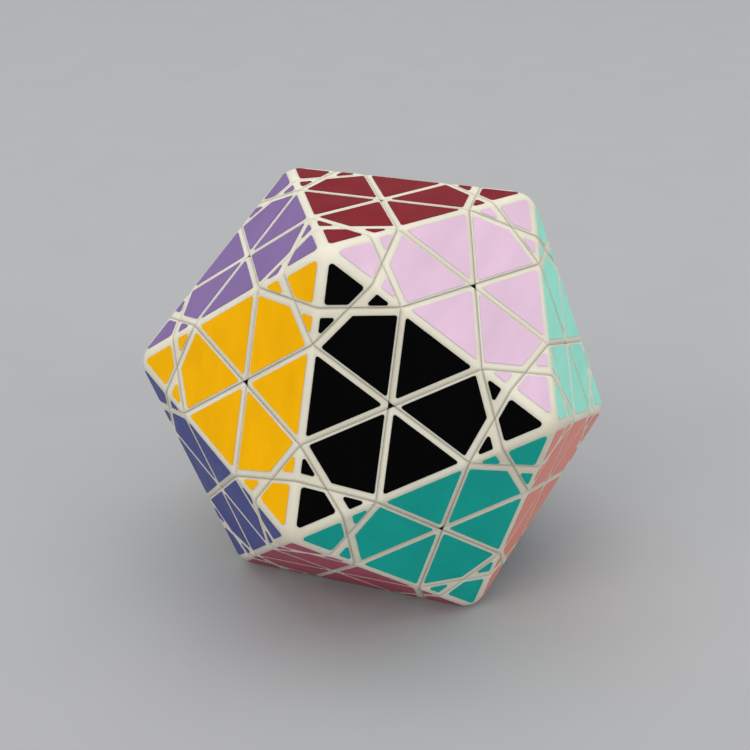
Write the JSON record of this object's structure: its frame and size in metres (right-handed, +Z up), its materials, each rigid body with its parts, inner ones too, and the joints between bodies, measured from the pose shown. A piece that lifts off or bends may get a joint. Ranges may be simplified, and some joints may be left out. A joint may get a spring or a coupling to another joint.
{
  "type": "icosahedral twisty puzzle",
  "caption": "Icosahedral face-turning twisty puzzle in cream plastic with coloured stickers, resting on one triangular face; layers under its faces turn about a central core.",
  "frame": {"origin": "centre of the face the puzzle rests on, at the surface it stands on", "axes": "+Z up through the opposite face; +Y along the longest extent, -Y towards the viewer; the turning axes meet 50 mm up the Z axis"},
  "size_m": [0.107, 0.1216, 0.1],
  "materials": {
    "cream_plastic": "satin moulded",
    "grey_nylon": "matt moulded",
    "steel": "zinc plated"
  },
  "bodies": {
    "core": {"core_with_posts": "grey_nylon", "top_screw": "steel", "front_screw": "steel", "rear_screw": "steel", "left_screw": "steel", "top_spring": "steel", "front_spring": "steel", "rear_spring": "steel", "left_spring": "steel", "middle_group_1": "cream_plastic", "middle_group_2": "cream_plastic", "middle_group_3": "cream_plastic", "middle_group_4": "cream_plastic", "middle_edge_1": "cream_plastic", "middle_edge_2": "cream_plastic", "middle_edge_3": "cream_plastic", "middle_edge_4": "cream_plastic", "middle_edge_5": "cream_plastic", "middle_edge_6": "cream_plastic"},
    "top_layer": {"top_hub": "grey_nylon", "top_corner_1": "cream_plastic", "top_corner_2": "cream_plastic", "top_corner_3": "cream_plastic", "top_edge_1": "cream_plastic", "top_edge_2": "cream_plastic", "top_edge_3": "cream_plastic", "top_petals_1": "cream_plastic", "top_petals_2": "cream_plastic", "top_petals_3": "cream_plastic"},
    "front_layer": {"front_hub": "grey_nylon", "front_corner_1": "cream_plastic", "front_corner_2": "cream_plastic", "front_corner_3": "cream_plastic", "front_edge_1": "cream_plastic", "front_edge_2": "cream_plastic", "front_edge_3": "cream_plastic", "front_petals_1": "cream_plastic", "front_petals_2": "cream_plastic", "front_petals_3": "cream_plastic"},
    "rear_layer": {"rear_hub": "grey_nylon", "rear_corner_1": "cream_plastic", "rear_corner_2": "cream_plastic", "rear_corner_3": "cream_plastic", "rear_edge_1": "cream_plastic", "rear_edge_2": "cream_plastic", "rear_edge_3": "cream_plastic", "rear_petals_1": "cream_plastic", "rear_petals_2": "cream_plastic", "rear_petals_3": "cream_plastic"},
    "left_layer": {"left_hub": "grey_nylon", "left_corner_1": "cream_plastic", "left_corner_2": "cream_plastic", "left_corner_3": "cream_plastic", "left_edge_1": "cream_plastic", "left_edge_2": "cream_plastic", "left_edge_3": "cream_plastic", "left_petals_1": "cream_plastic", "left_petals_2": "cream_plastic", "left_petals_3": "cream_plastic"}
  },
  "joints": [
    {"name": "turn_top_layer", "type": "hinge", "parent": "core", "child": "top_layer", "pos_m": [0, 0, 0.05], "axis": [0, 0, 1], "continuous": true},
    {"name": "turn_front_layer", "type": "hinge", "parent": "core", "child": "front_layer", "pos_m": [0, 0, 0.05], "axis": [0.5774, -0.7454, -0.3333], "continuous": true},
    {"name": "turn_rear_layer", "type": "hinge", "parent": "core", "child": "rear_layer", "pos_m": [0, 0, 0.05], "axis": [0.3568, 0.8727, -0.3333], "continuous": true},
    {"name": "turn_left_layer", "type": "hinge", "parent": "core", "child": "left_layer", "pos_m": [0, 0, 0.05], "axis": [-0.9342, -0.1273, -0.3333], "continuous": true}
  ]
}
